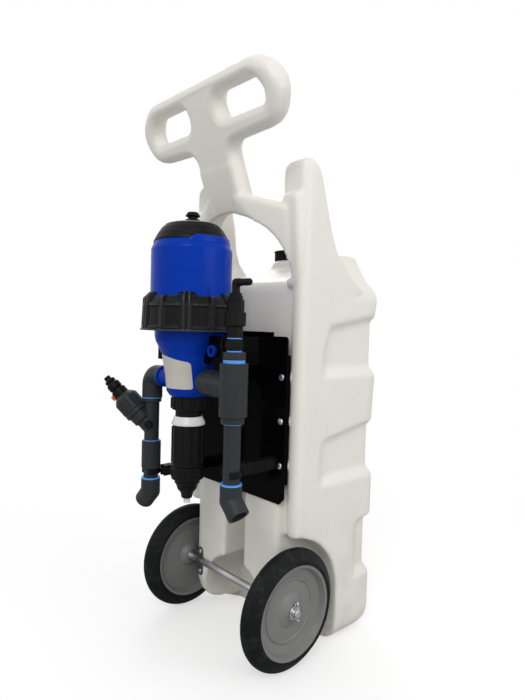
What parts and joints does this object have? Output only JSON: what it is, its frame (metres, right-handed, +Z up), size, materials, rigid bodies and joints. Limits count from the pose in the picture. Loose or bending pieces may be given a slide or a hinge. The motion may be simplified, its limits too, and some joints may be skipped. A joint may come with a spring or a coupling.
{
  "type": "wheeled sprayer cart",
  "caption": "Moulded white tank with a leaning two-loop handle on two wheels, carrying a blue water-driven doser and grey pipework on a black plate.",
  "frame": {"origin": "middle of the tank's foot, on the ground", "axes": "+Z up, +X to the outlet side, -Y towards the doser and the wheels"},
  "size_m": [0.3742, 0.416, 0.9651],
  "materials": {
    "tank": "warm white moulded polyethylene",
    "black_plastic": "black plastic",
    "matte_black": "matte black plastic",
    "plate": "glossy black paint",
    "steel": "bright zinc plated steel",
    "strap": "dark coated steel",
    "tyre": "black rubber",
    "wheel_disc": "grey moulded plastic",
    "bush": "dark bearing plastic",
    "blue_plastic": "royal blue plastic",
    "blue_ring": "light blue plastic",
    "grey_pvc": "dark grey rigid plastic pipe",
    "white_plastic": "white plastic",
    "gasket": "cream rubber",
    "panel": "bare pale panel",
    "orange_plastic": "orange plastic"
  },
  "bodies": {
    "cart": {"tank": "tank", "axle": "steel", "axle_straps": "strap", "strap_screws": "steel", "axle_washers": "steel", "cotter_pins": "steel", "mounting_plate": "plate", "plate_screws": "steel", "doser_bracket": "matte_black", "doser_bell": "blue_plastic", "doser_top_cap": "black_plastic", "clamp_ring": "black_plastic", "doser_body": "blue_plastic", "label_panel": "panel", "doser_nut": "black_plastic", "doser_neck": "black_plastic", "scale_collar": "white_plastic", "lock_ring": "black_plastic", "suction_cone": "black_plastic", "suction_tip": "white_plastic", "inlet_elbow": "grey_pvc", "inlet_collar": "blue_plastic", "inlet_nut": "grey_pvc", "inlet_wye": "grey_pvc", "union_nut": "grey_pvc", "quick_connector": "black_plastic", "left_coupling": "grey_pvc", "left_lower_pipe": "grey_pvc", "left_outlet_elbow": "grey_pvc", "left_ring": "grey_pvc", "outlet_tee": "grey_pvc", "tee_collars": "grey_pvc", "valve_adapter": "black_plastic", "check_valve": "black_plastic", "right_pipe": "grey_pvc", "right_outlet_elbow": "grey_pvc", "right_rings": "blue_ring", "comb_rail": "matte_black", "pipe_clips": "matte_black"},
    "right_wheel": {"right_tyre": "tyre", "right_wheel_disc": "wheel_disc", "right_bush": "bush"},
    "left_wheel": {"left_tyre": "tyre", "left_wheel_disc": "wheel_disc", "left_bush": "bush"},
    "filler_cap": {"tank_cap": "matte_black", "cap_gasket": "gasket"},
    "vent": {"vent_button": "black_plastic"},
    "adjuster": {"dose_adjuster": "black_plastic"},
    "piston": {"doser_piston": "white_plastic"},
    "right_knob": {"right_bracket_knob": "blue_plastic"},
    "left_knob": {"left_bracket_knob": "blue_plastic"},
    "drain": {"drain_knob": "black_plastic"},
    "tab": {"release_tab": "orange_plastic"},
    "swivel": {"hose_elbow": "black_plastic"}
  },
  "joints": [
    {"name": "right_wheel_spin", "type": "hinge", "parent": "cart", "child": "right_wheel", "pos_m": [0.1435, -0.113, 0.1], "axis": [1, 0, 0], "continuous": true},
    {"name": "left_wheel_spin", "type": "hinge", "parent": "cart", "child": "left_wheel", "pos_m": [-0.1435, -0.113, 0.1], "axis": [1, 0, 0], "continuous": true},
    {"name": "cap_turn", "type": "hinge", "parent": "cart", "child": "filler_cap", "pos_m": [-0.074, 0.081, 0.71], "axis": [0, 0, 1], "continuous": true},
    {"name": "vent_press", "type": "slide", "parent": "cart", "child": "vent", "axis": [0, 0, 1], "range_m": [-0.0032, 0], "stiffness_N_per_m": 400, "springref_m": 0.003},
    {"name": "dose_turn", "type": "hinge", "parent": "cart", "child": "adjuster", "pos_m": [0, -0.219, 0.361], "axis": [0, 0, 1], "continuous": true},
    {"name": "piston_stroke", "type": "slide", "parent": "cart", "child": "piston", "axis": [0, 0, 1], "range_m": [0, 0.045]},
    {"name": "right_knob_turn", "type": "hinge", "parent": "cart", "child": "right_knob", "pos_m": [0.071, -0.219, 0.522], "axis": [0, -1, 0], "continuous": true},
    {"name": "left_knob_turn", "type": "hinge", "parent": "cart", "child": "left_knob", "pos_m": [-0.071, -0.219, 0.522], "axis": [0, -1, 0], "continuous": true},
    {"name": "drain_turn", "type": "hinge", "parent": "cart", "child": "drain", "pos_m": [-0.117, -0.219, 0.38], "axis": [0.6428, -0.766, 0], "continuous": true},
    {"name": "tab_press", "type": "slide", "parent": "cart", "child": "tab", "axis": [-0.5417, -0.4545, -0.7071], "range_m": [-0.0016, 0], "stiffness_N_per_m": 300, "springref_m": 0.002},
    {"name": "hose_swivel", "type": "hinge", "parent": "cart", "child": "swivel", "pos_m": [0.117, -0.219, 0.602], "axis": [0, 0, 1], "continuous": true}
  ]
}
